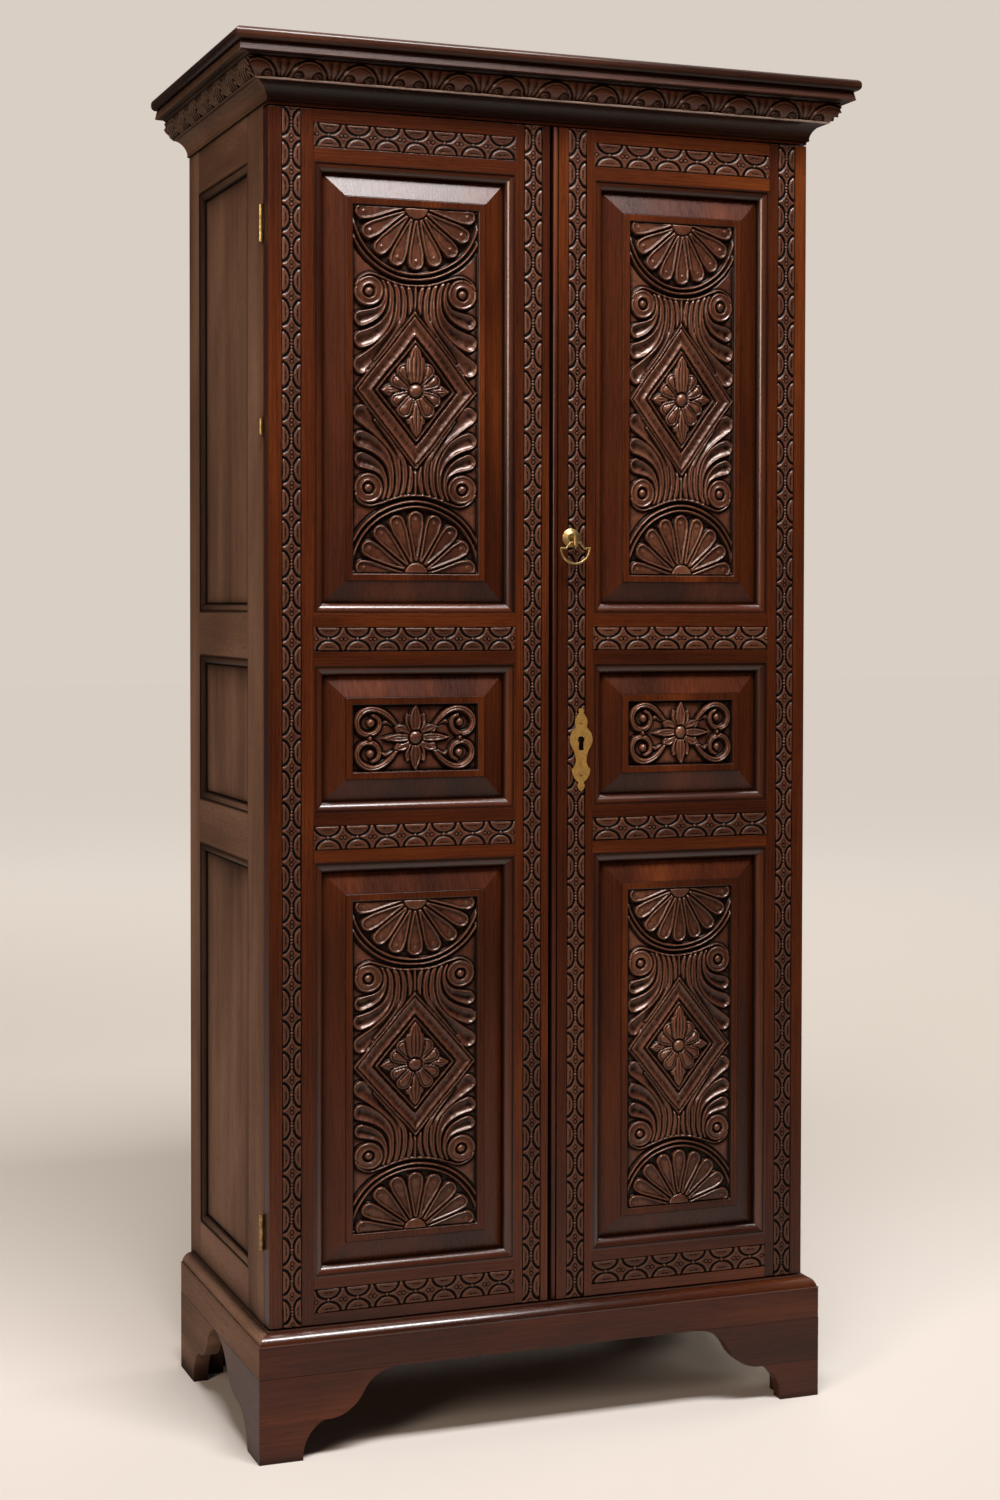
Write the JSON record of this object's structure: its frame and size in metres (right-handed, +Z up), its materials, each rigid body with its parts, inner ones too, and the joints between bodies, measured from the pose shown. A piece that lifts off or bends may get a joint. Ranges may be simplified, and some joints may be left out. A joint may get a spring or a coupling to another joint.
{
  "type": "linen press",
  "caption": "Tall two-door linen press with framed, carved door panels, moulded cornice, shelves inside and shaped bracket feet.",
  "frame": {"origin": "on the floor, under the middle of the whole piece (half its width and half its depth, cornice included)", "axes": "+Z up, -Y out of the doors, +X to the right as seen from in front"},
  "size_m": [0.916, 0.508, 1.9],
  "materials": {
    "front_wood": "dark stained oak, waxed, satin",
    "side_wood": "stained oak, waxed, duller",
    "inner_wood": "plain sawn boards, matt",
    "aged_brass": "aged brass, satin with dark hollows",
    "lock_iron": "blackened iron, satin"
  },
  "bodies": {
    "case": {"left_front_stile": "side_wood", "left_rear_stile": "side_wood", "left_side_rails": "side_wood", "left_side_panels": "side_wood", "left_side_mouldings": "side_wood", "right_front_stile": "side_wood", "right_rear_stile": "side_wood", "right_side_rails": "side_wood", "right_side_panels": "side_wood", "right_side_mouldings": "side_wood", "back_boards": "inner_wood", "case_ceiling": "inner_wood", "case_floor": "inner_wood", "case_front_rails": "front_wood", "shelves": "inner_wood", "shelf_bearers": "inner_wood", "cornice_cap": "front_wood", "crown_front": "front_wood", "crown_sides": "front_wood", "cove_front": "front_wood", "cove_sides": "front_wood", "plinth_front": "front_wood", "plinth_sides": "front_wood", "plinth_back": "inner_wood", "base_bearers": "inner_wood", "base_moulding_front": "front_wood", "base_moulding_sides": "front_wood", "front_left_foot": "front_wood", "front_right_foot": "front_wood", "rear_left_foot": "front_wood", "rear_right_foot": "front_wood", "left_case_leaves": "aged_brass", "right_case_leaves": "aged_brass", "hinge_pins": "aged_brass", "bolt_keepers": "aged_brass"},
    "door_left": {"left_hinge_stile": "front_wood", "left_meeting_stile": "front_wood", "left_door_rails": "front_wood", "left_upper_panel": "front_wood", "left_middle_panel": "front_wood", "left_lower_panel": "front_wood", "left_door_mouldings": "front_wood", "left_door_leaves": "aged_brass", "lock_keep": "lock_iron", "bolt_guides": "aged_brass"},
    "door_right": {"right_hinge_stile": "front_wood", "right_meeting_stile": "front_wood", "right_door_rails": "front_wood", "right_upper_panel": "front_wood", "right_middle_panel": "front_wood", "right_lower_panel": "front_wood", "right_door_mouldings": "front_wood", "right_door_leaves": "aged_brass", "key_plate": "aged_brass", "ring_plate": "aged_brass", "lock_case": "lock_iron"},
    "ring": {"ring_pull": "aged_brass"},
    "lock_bolt": {"lock_bolt": "lock_iron"},
    "top_bolt": {"top_bolt": "aged_brass"},
    "bottom_bolt": {"bottom_bolt": "aged_brass"}
  },
  "joints": [
    {"name": "door_left_hinge", "type": "hinge", "parent": "case", "child": "door_left", "pos_m": [-0.4035, -0.1695, 0.99], "axis": [0, 0, -1], "range_deg": [0, 170]},
    {"name": "door_right_hinge", "type": "hinge", "parent": "case", "child": "door_right", "pos_m": [0.4035, -0.1695, 0.99], "axis": [0, 0, 1], "range_deg": [0, 170]},
    {"name": "ring_swing", "type": "hinge", "parent": "door_right", "child": "ring", "pos_m": [0.0345, -0.213, 1.236], "axis": [-1, 0, 0], "range_deg": [0, 95]},
    {"name": "lock_bolt_slide", "type": "slide", "parent": "door_right", "child": "lock_bolt", "axis": [-1, 0, 0], "range_m": [0, 0.018]},
    {"name": "top_bolt_slide", "type": "slide", "parent": "door_left", "child": "top_bolt", "axis": [0, 0, 1], "range_m": [0, 0.014]},
    {"name": "bottom_bolt_slide", "type": "slide", "parent": "door_left", "child": "bottom_bolt", "axis": [0, 0, -1], "range_m": [0, 0.014]}
  ]
}
